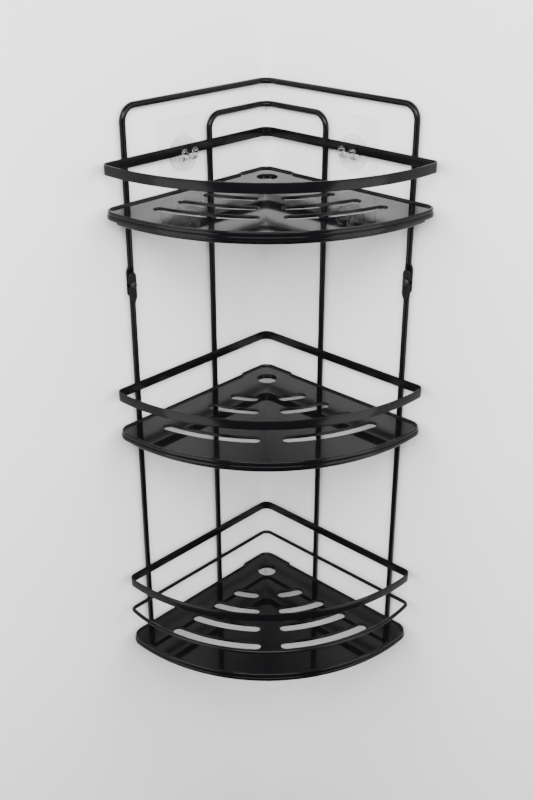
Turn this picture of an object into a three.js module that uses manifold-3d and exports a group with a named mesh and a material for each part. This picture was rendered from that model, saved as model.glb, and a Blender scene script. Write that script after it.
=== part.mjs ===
// Corner shower caddy: three shelf trays and their guard rails, carried by two bent wires that hook over
// two adhesive wall hooks. Millimetres, +Z up. The two walls meet on the line X = 0, Y = 0 and the room
// lies towards -Y. The origin is on that line, level with the middle of the adhesive pads.
import * as THREE from 'three';
import { mergeVertices } from 'three/addons/utils/BufferGeometryUtils.js';
import Module from 'manifold-3d';

const wasm = await Module();
wasm.setup();

// ---- driving dimensions ----
const weldGap = 0.3;              // clearance kept between two pieces that touch

// heights above the floor of the bottom tray
const middleFloor = 255;
const topFloor = 480;

// heights from the floor of the top tray
const outerArchRise = 88;         // centre of the wire where the outer arch runs along the walls
const innerArchRise = 65;
const outerJointDrop = 80;        // middle of the lap joints in the outer legs
const innerJointDrop = 36;        // middle of the lap joints in the inner legs

// the wires
const wireDiameter = 6;
const wireWallGap = 1.5;          // clear space between a wire and the wall
const outerLegReach = 193;        // distance of an outer leg from the corner, along the wall
const innerLegReach = 85;
const archBendRadius = 14;        // where a leg turns into the run along the wall
const archCornerRadius = 12;      // where the run turns from one wall to the other

// the trays
const trayDepth = 240;            // corner of the walls to the front edge of a tray
const trayFrontRadius = 198;
const trayCornerRadius = 15;
const trayApexRadius = 12;
const apexReach = 46;             // length of the rear stretch that stands closer to the wall
const apexStep = 2.5;             // how much closer it stands
const sheetThickness = 0.8;
const lipHeight = 2;              // rise of the rim above the floor
const skirtDrop = 6;              // drop of the rim below the floor
const rimWidth = 2.4;
const hemHeight = 3.6;            // folded edge along the bottom of the skirt

// drain slots and hole of a tray, on circles about the corner of the walls
const slotRadii = [99, 129, 160, 190];
const slotWidth = 11;
const slotCollarDepth = 3.0;      // the edge of each slot is rolled down below the floor
const slotWallMargin = 36;        // wall to the outer end of each slot
const spineWidth = 22;            // solid strip between the left and right slots
const drainRadius = 48.5;
const drainDiameter = 21;
const drainCollarDepth = 5;

// stiffening wire under the front edge of each tray
const stiffenerDiameter = 5;
const stiffenerSideMargin = 18;   // side edge of the tray to the end of the wire
const stiffenerDrop = 7.9;        // centre of the wire below the floor

// the guard rails
const railHeight = 9.5;
const railThickness = 1.5;
const railDepth = 233.5;          // corner of the walls to the front face of a rail
const railFrontRadius = 202;
const railCornerRadius = 8;
const railApexRadius = 10;
const upperRailRise = 43;         // tray floor to the top edge of the rail, on the top and middle trays
const bottomRailRise = 76;
const guardWireDiameter = 4;
const guardWireRise = 33.8;       // floor of the bottom tray to the centre of the guard wire
const guardWireDepth = 243.5;     // its front bows out further than the rails
const guardWireFrontRadius = 188;

// the lap joints
const tabWidth = 9.5;
const tabLength = 25;
const tabThickness = 2.5;
const tabRoot = 6;                // length over which a tab runs into its wire
const screwDiameter = 4;
const screwClearance = 0.3;       // all round the screw
const screwHeadDiameter = 7.4;
const screwHeadHeight = 2;
const crossSlotWidth = 1.1;
const crossSlotLength = 4.4;
const crossSlotDepth = 1.1;

// the adhesive pads and hooks
const hookReach = 118.5;          // corner of the walls to the middle of a pad, along the wall
const padSize = 60;
const padThickness = 1;
const padCornerRadius = 5;
const discDiameter = 35;
const discThickness = 4;
const discDrop = 5;               // centre of the disc below the centre of the pad
const prongDrop = 7.8;            // centre of the prongs' feet below the centre of the pad
const prongDiameter = 6;
const prongSpacing = 13.4;
const prongRise = 9.6;            // centre of the prong's foot to the top of its tip
const prongBendRadius = 4;

// ---- derived dimensions ----
const outerArchHeight = topFloor + outerArchRise;
const innerArchHeight = topFloor + innerArchRise;
const outerJointHeight = topFloor - outerJointDrop;
const innerJointHeight = topFloor - innerJointDrop;
const wireRadius = wireDiameter / 2;
const wireDistance = wireWallGap + wireRadius;
const frontOfWires = wireWallGap + wireDiameter;
const trayWallGap = frontOfWires + weldGap;
const railWallGap = frontOfWires + weldGap;
const floors = { bottom: 0, middle: middleFloor, top: topFloor };
const railTops = {
  bottom: bottomRailRise,
  middle: middleFloor + upperRailRise,
  top: topFloor + upperRailRise,
};
const prongFootHeight = railTops.top - railHeight - weldGap - prongDiameter / 2;
const padHeight = prongFootHeight + prongDrop;

// ---- finishes ----
const blackGloss = { color: 0x0c0c0e, roughness: 0.25, metalness: 0.6 };
const blackSatin = { color: 0x121214, roughness: 0.4, metalness: 0.6 };
const screwBlack = { color: 0x1a1a1c, roughness: 0.35, metalness: 0.8 };
const clearPlastic = { color: 0xf2f5f6, roughness: 0.08, metalness: 0.0, transparent: true, opacity: 0.35 };

const caddy = new THREE.Group();
caddy.position.z = -padHeight;

function addPiece(name, geometry, finish) {
  const mesh = new THREE.Mesh(geometry, new THREE.MeshStandardMaterial(finish));
  mesh.name = name;
  caddy.add(mesh);
}

// ---- solids ----
function toSolid(geometry) {
  const bare = geometry.clone();
  bare.deleteAttribute('normal');
  bare.deleteAttribute('uv');
  const merged = mergeVertices(bare, 1e-4);
  return new wasm.Manifold(new wasm.Mesh({
    numProp: 3,
    vertProperties: Float32Array.from(merged.attributes.position.array),
    triVerts: Uint32Array.from(merged.index.array),
  }));
}

function toGeometry(solid) {
  const mesh = solid.getMesh();
  const geometry = new THREE.BufferGeometry();
  geometry.setAttribute('position', new THREE.BufferAttribute(mesh.vertProperties, 3));
  geometry.setIndex(new THREE.BufferAttribute(mesh.triVerts, 1));
  geometry.computeVertexNormals();
  return geometry;
}

function joined(geometries) {
  return geometries.map(toSolid).reduce((whole, piece) => whole.add(piece));
}

// ---- plan outlines ----
function arcPoints(centre, radius, from, to, segments) {
  const points = [];
  for (let i = 0; i <= segments; i += 1) {
    const angle = from + (to - from) * i / segments;
    points.push(new THREE.Vector2(centre.x + radius * Math.cos(angle), centre.y + radius * Math.sin(angle)));
  }
  return points;
}

// The corner at the end of a side: a circle that touches the side and the front arc from inside.
function frontCorner({ wallGap, depth, frontRadius, cornerRadius }) {
  const frontCentre = new THREE.Vector2(0, frontRadius - depth);
  const sideOffset = (wallGap + cornerRadius) * Math.SQRT2;
  const shift = sideOffset + frontCentre.y;
  const reach = frontRadius - cornerRadius;
  const x = (Math.sqrt(2 * reach ** 2 - shift ** 2) - shift) / 2;
  const centre = new THREE.Vector2(x, -x - sideOffset);
  const meetingAngle = Math.atan2(centre.y - frontCentre.y, centre.x);
  return { frontCentre, centre, meetingAngle };
}

// Outline of a tray or rail seen from above, anticlockwise: a front arc bowed into the room, and two
// sides that follow the walls to a rounded apex. Near the apex the sides may step towards the walls.
function cornerOutline({ wallGap, depth, frontRadius, cornerRadius, apexRadius, step = 0, stepReach = 0 }) {
  const { frontCentre, centre, meetingAngle } = frontCorner({ wallGap, depth, frontRadius, cornerRadius });
  const right = arcPoints(frontCentre, frontRadius, -Math.PI / 2, meetingAngle, 14);
  right.push(...arcPoints(centre, cornerRadius, meetingAngle, Math.PI / 4, 6).slice(1));
  if (step > 0) {
    right.push(onWall(1, stepReach + step, wallGap));
    right.push(onWall(1, stepReach, wallGap - step));
  }
  const apex = new THREE.Vector2(0, -(wallGap - step + apexRadius) * Math.SQRT2);
  right.push(...arcPoints(apex, apexRadius, Math.PI / 4, Math.PI / 2, 3));
  const left = right.slice(1, -1).reverse().map((p) => new THREE.Vector2(-p.x, p.y));
  return [...right, ...left];
}

// A point in plan at a distance along one wall from the corner and at a distance from that wall.
function onWall(side, reach, distance) {
  return new THREE.Vector2(side * (reach - distance) / Math.SQRT2, -(reach + distance) / Math.SQRT2);
}

// The same outline moved outwards by a distance, with mitred corners.
function offsetOutline(points, distance) {
  return points.map((point, i) => {
    const before = points[(i + points.length - 1) % points.length];
    const after = points[(i + 1) % points.length];
    const inward = point.clone().sub(before).normalize();
    const onward = after.clone().sub(point).normalize();
    const normalIn = new THREE.Vector2(inward.y, -inward.x);
    const normalOn = new THREE.Vector2(onward.y, -onward.x);
    const mitre = normalIn.clone().add(normalOn);
    return point.clone().addScaledVector(mitre, distance / (1 + normalIn.dot(normalOn)));
  });
}

function slab(outline, holes, bottom, height) {
  const shape = new THREE.Shape(outline);
  shape.holes = holes.map((hole) => new THREE.Path(hole));
  const geometry = new THREE.ExtrudeGeometry(shape, { depth: height, bevelEnabled: false, curveSegments: 8 });
  return geometry.translate(0, 0, bottom);
}

function ring(outline, width, bottom, height) {
  return slab(outline, [offsetOutline(outline, -width)], bottom, height);
}

// ---- wires ----
// The centre line of a bent wire, through given points. Each point carries one section of the wire, so
// a straight run costs no more than its two ends.
class WireLine extends THREE.Curve {
  constructor(points) {
    super();
    this.points = points;
  }

  getPoint(t) {
    const last = this.points.length - 1;
    const place = Math.min(t * last, last);
    const index = Math.min(Math.floor(place + 1e-9), last - 1);
    return this.points[index].clone().lerp(this.points[index + 1], place - index);
  }

  getPointAt(u) {
    return this.getPoint(u);
  }

  getTangentAt(u) {
    const last = this.points.length - 1;
    const index = Math.round(u * last);
    const before = this.points[Math.max(index - 1, 0)];
    const here = this.points[index];
    const after = this.points[Math.min(index + 1, last)];
    const tangent = new THREE.Vector3();
    if (index > 0) tangent.add(here.clone().sub(before).normalize());
    if (index < last) tangent.add(after.clone().sub(here).normalize());
    return tangent.normalize();
  }
}

// Points along a wire that goes straight from corner to corner and is bent round each one.
function bentPoints(corners, radii, segments = 6) {
  const points = [corners[0]];
  for (let i = 1; i < corners.length - 1; i += 1) {
    const corner = corners[i];
    const back = corners[i - 1].clone().sub(corner).normalize();
    const on = corners[i + 1].clone().sub(corner).normalize();
    const halfAngle = back.angleTo(on) / 2;
    const radius = radii[i - 1];
    const middle = back.clone().add(on).normalize();
    const centre = corner.clone().addScaledVector(middle, radius / Math.sin(halfAngle));
    const first = corner.clone().addScaledVector(back, radius / Math.tan(halfAngle)).sub(centre);
    const last = corner.clone().addScaledVector(on, radius / Math.tan(halfAngle)).sub(centre);
    const turn = first.angleTo(last);
    const axis = first.clone().cross(last).normalize();
    for (let k = 0; k <= segments; k += 1) {
      points.push(first.clone().applyAxisAngle(axis, turn * k / segments).add(centre));
    }
  }
  points.push(corners[corners.length - 1]);
  return points;
}

function wire(points, diameter, sides = 8) {
  const circle = arcPoints({ x: 0, y: 0 }, diameter / 2, 0, 2 * Math.PI, sides).slice(0, -1);
  const section = new THREE.Shape(circle);
  const path = new WireLine(points);
  return new THREE.ExtrudeGeometry(section, { steps: points.length - 1, extrudePath: path });
}

function wirePoint(side, reach, height) {
  const plan = onWall(side, reach, wireDistance);
  return new THREE.Vector3(plan.x, plan.y, height);
}

// ---- pieces along a wall ----
// Turns a shape drawn with +X away from the corner along the wall, +Y up and +Z out of the wall, and
// puts its origin at a distance along the wall and at a height.
function placeOnWall(geometry, side, reach, distance, height) {
  const along = new THREE.Vector3(side, -1, 0).normalize();
  const up = new THREE.Vector3(0, 0, 1);
  const out = new THREE.Vector3(-side, -1, 0).normalize();
  const place = onWall(side, reach, distance);
  if (side < 0) geometry.scale(-1, 1, 1);
  const frame = new THREE.Matrix4().makeBasis(side < 0 ? along.negate() : along, up, out);
  frame.setPosition(place.x, place.y, height);
  if (side < 0) flipFaces(geometry);
  return geometry.applyMatrix4(frame);
}

function flipFaces(geometry) {
  const index = geometry.index ?? sequence(geometry.attributes.position.count);
  for (let i = 0; i < index.count; i += 3) {
    const second = index.getX(i + 1);
    index.setX(i + 1, index.getX(i + 2));
    index.setX(i + 2, second);
  }
  geometry.setIndex(index);
}

function sequence(count) {
  return new THREE.BufferAttribute(Uint32Array.from({ length: count }, (_, i) => i), 1);
}

// ---- trays ----
const trayEdge = cornerOutline({
  wallGap: trayWallGap,
  depth: trayDepth,
  frontRadius: trayFrontRadius,
  cornerRadius: trayCornerRadius,
  apexRadius: trayApexRadius,
  step: apexStep,
  stepReach: apexReach,
});

// One drain slot: a curved slot about the corner of the walls, with round ends.
function slotOutline(side, radius) {
  const half = slotWidth / 2;
  const start = Math.asin((spineWidth / 2 + half) / radius);
  const end = Math.acos((slotWallMargin + half) / radius) - Math.PI / 4;
  const towardsFront = -Math.PI / 2;
  const from = towardsFront + start;
  const to = towardsFront + end;
  const capCentre = (angle) => new THREE.Vector2(radius * Math.cos(angle), radius * Math.sin(angle));
  const origin = new THREE.Vector2();
  const points = [
    ...arcPoints(origin, radius + half, from, to, 6),
    ...arcPoints(capCentre(to), half, to, to + Math.PI, 4).slice(1, -1),
    ...arcPoints(origin, radius - half, to, from, 6),
    ...arcPoints(capCentre(from), half, from + Math.PI, from + 2 * Math.PI, 4).slice(1, -1),
  ];
  return side > 0 ? points : points.map((p) => new THREE.Vector2(-p.x, p.y)).reverse();
}

function drainOutline() {
  const centre = new THREE.Vector2(0, -drainRadius);
  return arcPoints(centre, drainDiameter / 2, 0, 2 * Math.PI, 20).slice(0, -1);
}

// The rolled-down edge of a hole, as a band of sheet round it.
function collar(hole, floor, depth) {
  return slab(offsetOutline(hole, sheetThickness), [hole], floor - depth, depth);
}

function tray(floor) {
  const skirtEdge = offsetOutline(trayEdge, -sheetThickness);
  const floorEdge = offsetOutline(skirtEdge, -rimWidth / 2);
  const skirtBottom = floor - skirtDrop;
  const holes = [{ outline: drainOutline(), depth: drainCollarDepth }];
  for (const radius of slotRadii) {
    holes.push({ outline: slotOutline(1, radius), depth: slotCollarDepth });
    holes.push({ outline: slotOutline(-1, radius), depth: slotCollarDepth });
  }
  const cutOuts = holes.map(({ outline }) => offsetOutline(outline, sheetThickness / 2));
  const collars = holes.map(({ outline, depth }) => collar(outline, floor, depth));
  return toGeometry(joined([
    slab(floorEdge, cutOuts, floor - sheetThickness, sheetThickness),
    ring(skirtEdge, rimWidth, skirtBottom, skirtDrop + lipHeight),
    ring(trayEdge, sheetThickness + rimWidth / 2, skirtBottom, hemHeight),
    ...collars,
  ]));
}

// The wire that stiffens the front of a tray lies against the inside of the skirt and stops short of
// the corners.
function trayStiffener(floor) {
  const lineInset = sheetThickness + rimWidth + weldGap + stiffenerDiameter / 2;
  const lineRadius = trayFrontRadius - lineInset;
  const centreY = trayFrontRadius - trayDepth;
  const sideDistance = trayWallGap + stiffenerSideMargin;
  const shift = sideDistance * Math.SQRT2 + centreY;
  const endX = (Math.sqrt(2 * lineRadius ** 2 - shift ** 2) - shift) / 2;
  const endAngle = Math.acos(endX / lineRadius);
  const centre = new THREE.Vector2(0, centreY);
  const line = arcPoints(centre, lineRadius, -Math.PI + endAngle, -endAngle, 24);
  const height = floor - stiffenerDrop;
  return wire(line.map((p) => new THREE.Vector3(p.x, p.y, height)), stiffenerDiameter);
}

for (const [level, floor] of Object.entries(floors)) {
  addPiece(`${level}_tray`, tray(floor), blackGloss);
  addPiece(`${level}_tray_stiffener`, trayStiffener(floor), blackSatin);
}

// ---- guard rails ----
const railEdge = cornerOutline({
  wallGap: railWallGap,
  depth: railDepth,
  frontRadius: railFrontRadius,
  cornerRadius: railCornerRadius,
  apexRadius: railApexRadius,
});

for (const [level, top] of Object.entries(railTops)) {
  addPiece(`${level}_rail`, ring(railEdge, railThickness, top - railHeight, railHeight), blackSatin);
}

// The guard wire is a closed hoop with an eight-sided section: a narrow band with its edges bevelled.
function guardWire() {
  const edge = cornerOutline({
    wallGap: railWallGap,
    depth: guardWireDepth,
    frontRadius: guardWireFrontRadius,
    cornerRadius: railCornerRadius,
    apexRadius: railApexRadius,
  });
  const flat = guardWireDiameter * Math.tan(Math.PI / 8);
  const bevel = (guardWireDiameter - flat) / 2;
  const band = offsetOutline(edge, -bevel);
  const shape = new THREE.Shape(band);
  shape.holes = [new THREE.Path(offsetOutline(band, -flat))];
  const geometry = new THREE.ExtrudeGeometry(shape, {
    depth: flat,
    bevelThickness: bevel,
    bevelSize: bevel,
    bevelSegments: 1,
  });
  return geometry.translate(0, 0, guardWireRise - flat / 2);
}

addPiece('bottom_guard_wire', guardWire(), blackSatin);

// ---- wires and their lap joints ----
// The end of a wire is pressed flat into a tab. The upper wire's tab lies on the wall side and the lower
// wire's tab on the room side, with the screw through both.
function tabCentreDistance(upper) {
  const offset = (tabThickness + weldGap) / 2;
  return upper ? wireDistance - offset : wireDistance + offset;
}

function tab(side, reach, jointHeight, upper) {
  const half = tabWidth / 2;
  const straight = tabLength / 2 - half;
  const farEnd = upper ? -1 : 1;
  const outline = arcPoints({ x: 0, y: straight }, half, 0, Math.PI, 8);
  outline.push(new THREE.Vector2(-half, -straight - half));
  outline.push(new THREE.Vector2(-wireRadius, -straight - half - tabRoot));
  outline.push(new THREE.Vector2(wireRadius, -straight - half - tabRoot));
  outline.push(new THREE.Vector2(half, -straight - half));
  const hole = arcPoints({ x: 0, y: 0 }, screwDiameter / 2 + screwClearance, 0, 2 * Math.PI, 12).slice(0, -1);
  const plate = slab(outline, [hole], -tabThickness / 2, tabThickness);
  if (farEnd < 0) plate.rotateZ(Math.PI);
  return placeOnWall(plate, side, reach, tabCentreDistance(upper), jointHeight);
}

// Where the round wire stops, just past the end of the other wire's tab.
const wireEndMargin = tabLength / 2 + 1;

function arch(reach, runHeight, jointHeight) {
  const corner = new THREE.Vector3(0, -wireDistance * Math.SQRT2, runHeight);
  const line = bentPoints([
    wirePoint(-1, reach, jointHeight + wireEndMargin),
    wirePoint(-1, reach, runHeight),
    corner,
    wirePoint(1, reach, runHeight),
    wirePoint(1, reach, jointHeight + wireEndMargin),
  ], [archBendRadius, archCornerRadius, archBendRadius]);
  return toGeometry(joined([
    wire(line, wireDiameter),
    tab(-1, reach, jointHeight, true),
    tab(1, reach, jointHeight, true),
  ]));
}

function lowerLeg(side, reach, jointHeight) {
  const line = [
    wirePoint(side, reach, -skirtDrop),
    wirePoint(side, reach, jointHeight - wireEndMargin),
  ];
  return toGeometry(joined([wire(line, wireDiameter), tab(side, reach, jointHeight, false)]));
}

// A pan-head screw with a cross recess. Its point stops flush with the back of the wall-side tab.
function lapScrew(side, reach, jointHeight) {
  const headBase = tabCentreDistance(false) + tabThickness / 2 + weldGap;
  const shankLength = 2 * tabThickness + 2 * weldGap;
  const edge = screwHeadDiameter / 2;
  const profile = [
    new THREE.Vector2(0, -shankLength),
    new THREE.Vector2(screwDiameter / 2, -shankLength),
    new THREE.Vector2(screwDiameter / 2, 0),
    new THREE.Vector2(edge, 0),
    new THREE.Vector2(edge, screwHeadHeight * 0.4),
    new THREE.Vector2(edge * 0.8, screwHeadHeight * 0.85),
    new THREE.Vector2(edge * 0.4, screwHeadHeight),
    new THREE.Vector2(0, screwHeadHeight),
  ];
  const body = toSolid(new THREE.LatheGeometry(profile, 16).rotateX(Math.PI / 2));
  const recess = [0, Math.PI / 2].map((turn) => {
    const bar = new THREE.BoxGeometry(crossSlotLength, crossSlotWidth, 2 * crossSlotDepth);
    return toSolid(bar.rotateZ(turn).translate(0, 0, screwHeadHeight));
  });
  const screw = toGeometry(body.subtract(recess[0].add(recess[1])));
  return placeOnWall(screw, side, reach, headBase, jointHeight);
}

addPiece('outer_arch', arch(outerLegReach, outerArchHeight, outerJointHeight), blackSatin);
addPiece('inner_arch', arch(innerLegReach, innerArchHeight, innerJointHeight), blackSatin);

const sides = { left: -1, right: 1 };
const legs = {
  outer: { reach: outerLegReach, jointHeight: outerJointHeight },
  inner: { reach: innerLegReach, jointHeight: innerJointHeight },
};

for (const [hand, side] of Object.entries(sides)) {
  for (const [place, { reach, jointHeight }] of Object.entries(legs)) {
    addPiece(`lower_${place}_leg_${hand}`, lowerLeg(side, reach, jointHeight), blackSatin);
    addPiece(`${place}_screw_${hand}`, lapScrew(side, reach, jointHeight), screwBlack);
  }
}

// ---- adhesive pads and hooks ----
const prongFootDistance = railWallGap + railThickness + weldGap + prongDiameter / 2;

function roundedSquare(size, radius) {
  const inner = size / 2 - radius;
  return [[1, 1], [-1, 1], [-1, -1], [1, -1]].flatMap(([x, y], i) => (
    arcPoints({ x: x * inner, y: y * inner }, radius, i * Math.PI / 2, (i + 1) * Math.PI / 2, 4)
  ));
}

function adhesivePad(side) {
  const plate = slab(roundedSquare(padSize, padCornerRadius), [], 0, padThickness);
  return placeOnWall(plate, side, hookReach, 0, padHeight);
}

// One moulding: a disc bonded to the pad, and two prongs that reach under the top rail and turn up in
// front of it.
function hook(side) {
  const discBase = padThickness + weldGap;
  const discTop = discBase + discThickness;
  const disc = new THREE.CylinderGeometry(discDiameter / 2, discDiameter / 2, discThickness, 32);
  disc.rotateX(Math.PI / 2);
  disc.translate(0, padHeight - discDrop, discBase + discThickness / 2);
  const foot = prongFootHeight;
  const prongs = [-1, 1].map((hand) => {
    const x = hand * prongSpacing / 2;
    return wire(bentPoints([
      new THREE.Vector3(x, foot, discTop - 1),
      new THREE.Vector3(x, foot, prongFootDistance),
      new THREE.Vector3(x, foot + prongRise, prongFootDistance),
    ], [prongBendRadius], 4), prongDiameter, 12);
  });
  return placeOnWall(toGeometry(joined([disc, ...prongs])), side, hookReach, 0, 0);
}

for (const [hand, side] of Object.entries(sides)) {
  addPiece(`adhesive_pad_${hand}`, adhesivePad(side), clearPlastic);
  addPiece(`hook_${hand}`, hook(side), clearPlastic);
}

const model = new THREE.Group();
model.add(caddy);

export default model;
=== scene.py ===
import math

import bmesh
import bpy
from mathutils import Matrix, Vector
from mathutils.geometry import tessellate_polygon


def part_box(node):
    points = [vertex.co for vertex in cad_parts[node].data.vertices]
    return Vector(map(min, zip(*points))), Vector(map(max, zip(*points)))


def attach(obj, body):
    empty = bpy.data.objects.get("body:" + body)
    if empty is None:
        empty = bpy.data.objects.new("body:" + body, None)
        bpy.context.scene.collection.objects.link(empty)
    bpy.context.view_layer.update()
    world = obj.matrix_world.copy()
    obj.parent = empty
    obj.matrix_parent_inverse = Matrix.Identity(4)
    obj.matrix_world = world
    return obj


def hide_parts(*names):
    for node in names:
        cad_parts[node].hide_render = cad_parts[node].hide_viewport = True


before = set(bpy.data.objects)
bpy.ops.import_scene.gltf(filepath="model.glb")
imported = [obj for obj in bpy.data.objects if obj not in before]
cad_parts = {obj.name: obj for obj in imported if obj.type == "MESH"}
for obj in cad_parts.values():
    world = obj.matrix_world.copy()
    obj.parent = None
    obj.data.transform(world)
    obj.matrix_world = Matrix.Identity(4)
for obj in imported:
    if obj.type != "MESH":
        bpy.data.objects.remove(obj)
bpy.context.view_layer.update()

# ---- camera ----
# It looks down into the corner from the room, from a little left of the middle. The picture is upright,
# so its field of view is set by its height.
CAMERA_PLACE = (-0.0329, -1.123, 0.2431)
CAMERA_DIP = 0.460
CAMERA_TURN = -0.030
camera_data = bpy.data.cameras.new("camera")
camera_data.sensor_fit = "VERTICAL"
camera_data.sensor_height = 24.0
camera_data.lens = 32.35
camera_data.clip_start = 0.02
camera = bpy.data.objects.new("camera", camera_data)
camera.location = CAMERA_PLACE
camera.rotation_euler = (math.pi / 2 - CAMERA_DIP, 0.0, CAMERA_TURN)
bpy.context.scene.collection.objects.link(camera)
bpy.context.scene.camera = camera

# ---- walls, floor and lights ----
# The caddy hangs in a plain pale corner over a plain pale floor. A wall shows only from the room, so
# that a view from behind sees the caddy. Soft lights stand high on the left, on the right and in front.
# Two low cards at the sides light only the caddy, which mirrors a dim room and not the floor.
WALL_LENGTH = 0.42
WALL_TOP = 0.22
FLOOR_LEVEL = -0.98
FLOOR_HALF = 4.0


def add_object(name, mesh):
    made = bpy.data.objects.new(name, mesh)
    bpy.context.scene.collection.objects.link(made)
    return made


def pale_material(name, colour, see_through_back):
    material = bpy.data.materials.new(name)
    material.use_nodes = True
    nodes = material.node_tree.nodes
    links = material.node_tree.links
    shader = nodes["Principled BSDF"]
    shader.inputs["Base Color"].default_value = (*colour, 1.0)
    shader.inputs["Roughness"].default_value = 0.7
    if see_through_back:
        clear = nodes.new("ShaderNodeBsdfTransparent")
        geometry = nodes.new("ShaderNodeNewGeometry")
        mix = nodes.new("ShaderNodeMixShader")
        links.new(geometry.outputs["Backfacing"], mix.inputs["Fac"])
        links.new(shader.outputs["BSDF"], mix.inputs[1])
        links.new(clear.outputs["BSDF"], mix.inputs[2])
        links.new(mix.outputs["Shader"], nodes["Material Output"].inputs["Surface"])
    return material


def flat_panel(name, corners, material):
    mesh = bpy.data.meshes.new(name)
    mesh.from_pydata(corners, [], [(0, 1, 2, 3)])
    mesh.materials.append(material)
    panel = add_object(name, mesh)
    return panel


pale_wall = pale_material("pale wall", (0.86, 0.86, 0.86), True)
pale_floor = pale_material("pale floor", (0.80, 0.80, 0.79), False)
wall_end = WALL_LENGTH / math.sqrt(2)
flat_panel("wall_left", [
    (-wall_end, -wall_end, FLOOR_LEVEL), (0, 0, FLOOR_LEVEL),
    (0, 0, WALL_TOP), (-wall_end, -wall_end, WALL_TOP),
], pale_wall)
flat_panel("wall_right", [
    (0, 0, FLOOR_LEVEL), (wall_end, -wall_end, FLOOR_LEVEL),
    (wall_end, -wall_end, WALL_TOP), (0, 0, WALL_TOP),
], pale_wall)
floor = flat_panel("floor", [
    (-FLOOR_HALF, -FLOOR_HALF, FLOOR_LEVEL), (FLOOR_HALF, -FLOOR_HALF, FLOOR_LEVEL),
    (FLOOR_HALF, FLOOR_HALF, FLOOR_LEVEL), (-FLOOR_HALF, FLOOR_HALF, FLOOR_LEVEL),
], pale_floor)
floor.visible_glossy = False
floor.visible_diffuse = False


def studio_world():
    """A pale backdrop where the camera sees it, and a dim room for the light and the reflections."""
    world = bpy.data.worlds.new("studio")
    world.use_nodes = True
    nodes = world.node_tree.nodes
    links = world.node_tree.links
    room = nodes["Background"]
    room.inputs["Color"].default_value = (0.95, 0.97, 1.0, 1.0)
    room.inputs["Strength"].default_value = 0.12
    backdrop = nodes.new("ShaderNodeBackground")
    backdrop.inputs["Color"].default_value = (0.96, 0.97, 1.0, 1.0)
    backdrop.inputs["Strength"].default_value = 0.85
    seen = nodes.new("ShaderNodeLightPath")
    mix = nodes.new("ShaderNodeMixShader")
    links.new(seen.outputs["Is Camera Ray"], mix.inputs["Fac"])
    links.new(room.outputs["Background"], mix.inputs[1])
    links.new(backdrop.outputs["Background"], mix.inputs[2])
    links.new(mix.outputs["Shader"], nodes["World Output"].inputs["Surface"])
    return world


bpy.context.scene.world = studio_world()


def soft_light(name, place, aim, size, power, lights_walls=True):
    data = bpy.data.lights.new(name, "AREA")
    data.shape = "RECTANGLE"
    data.size = size[0]
    data.size_y = size[1]
    data.energy = power
    light = bpy.data.objects.new(name, data)
    light.location = place
    light.rotation_euler = (Vector(aim) - Vector(place)).to_track_quat("-Z", "Y").to_euler()
    light.visible_diffuse = lights_walls
    bpy.context.scene.collection.objects.link(light)


LIGHT_AIM = (0, -0.1, -0.25)
soft_light("left_light", (-1.3, -0.95, 0.6), LIGHT_AIM, (1.4, 1.3), 38.0)
soft_light("right_light", (1.3, -0.95, 0.6), LIGHT_AIM, (1.4, 1.3), 40.0)
soft_light("front_light", (-0.05, -1.7, 0.85), LIGHT_AIM, (1.3, 0.9), 82.0)
soft_light("left_card", (-1.3, -0.95, -0.7), LIGHT_AIM, (1.4, 1.1), 26.0, lights_walls=False)
soft_light("right_card", (1.3, -0.95, -0.7), LIGHT_AIM, (1.4, 1.1), 27.0, lights_walls=False)

# ---- trays ----
# Each tray is one pressed steel sheet, coated gloss black. Its rim is folded up over a lip and down into
# a skirt, whose edge is hemmed back up outside. Drain slots and a round drain have rolled-down edges.
MM = 0.001
BOTTOM_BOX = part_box("bottom_tray")
SKIRT_DROP = 6.0 * MM
TRAY_WALL_GAP = 7.8 * MM
TRAY_DEPTH = -BOTTOM_BOX[0][1]
TRAY_FRONT_RADIUS = 198.0 * MM
TRAY_CORNER_RADIUS = 15.0 * MM
TRAY_APEX_RADIUS = 12.0 * MM
APEX_REACH = 46.0 * MM
APEX_STEP = 2.5 * MM
APEX_STEP_BEND = 1.5 * MM
SLOT_RADII = [radius * MM for radius in (99, 129, 160, 190)]
SLOT_WIDTH = 11.0 * MM
SLOT_WALL_MARGIN = 36.0 * MM
SPINE_WIDTH = 22.0 * MM
DRAIN_RADIUS = 10.5 * MM
DRAIN_REACH = 48.5 * MM


def arc_points(centre, radius, start, end, segments):
    angles = [start + (end - start) * i / segments for i in range(segments + 1)]
    return [Vector((centre[0] + radius * math.cos(a), centre[1] + radius * math.sin(a))) for a in angles]


def on_wall(side, reach, distance):
    """A point in plan, at a distance along one wall and a distance from that wall."""
    return Vector((side * (reach - distance), -(reach + distance))) / math.sqrt(2)


def rounded_bend(before, corner, after, radius, segments):
    """The points of a corner rounded with a circle."""
    back = (before - corner).normalized()
    on = (after - corner).normalized()
    half_angle = back.angle(on) / 2
    middle = (back + on).normalized()
    centre = corner + middle * (radius / math.sin(half_angle))
    first = corner + back * (radius / math.tan(half_angle)) - centre
    last = corner + on * (radius / math.tan(half_angle)) - centre
    turn = first.angle(last)
    points = []
    for i in range(segments + 1):
        share = i / segments
        swing = (first * math.sin((1 - share) * turn) + last * math.sin(share * turn)) / math.sin(turn)
        points.append(centre + swing)
    return points


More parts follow.
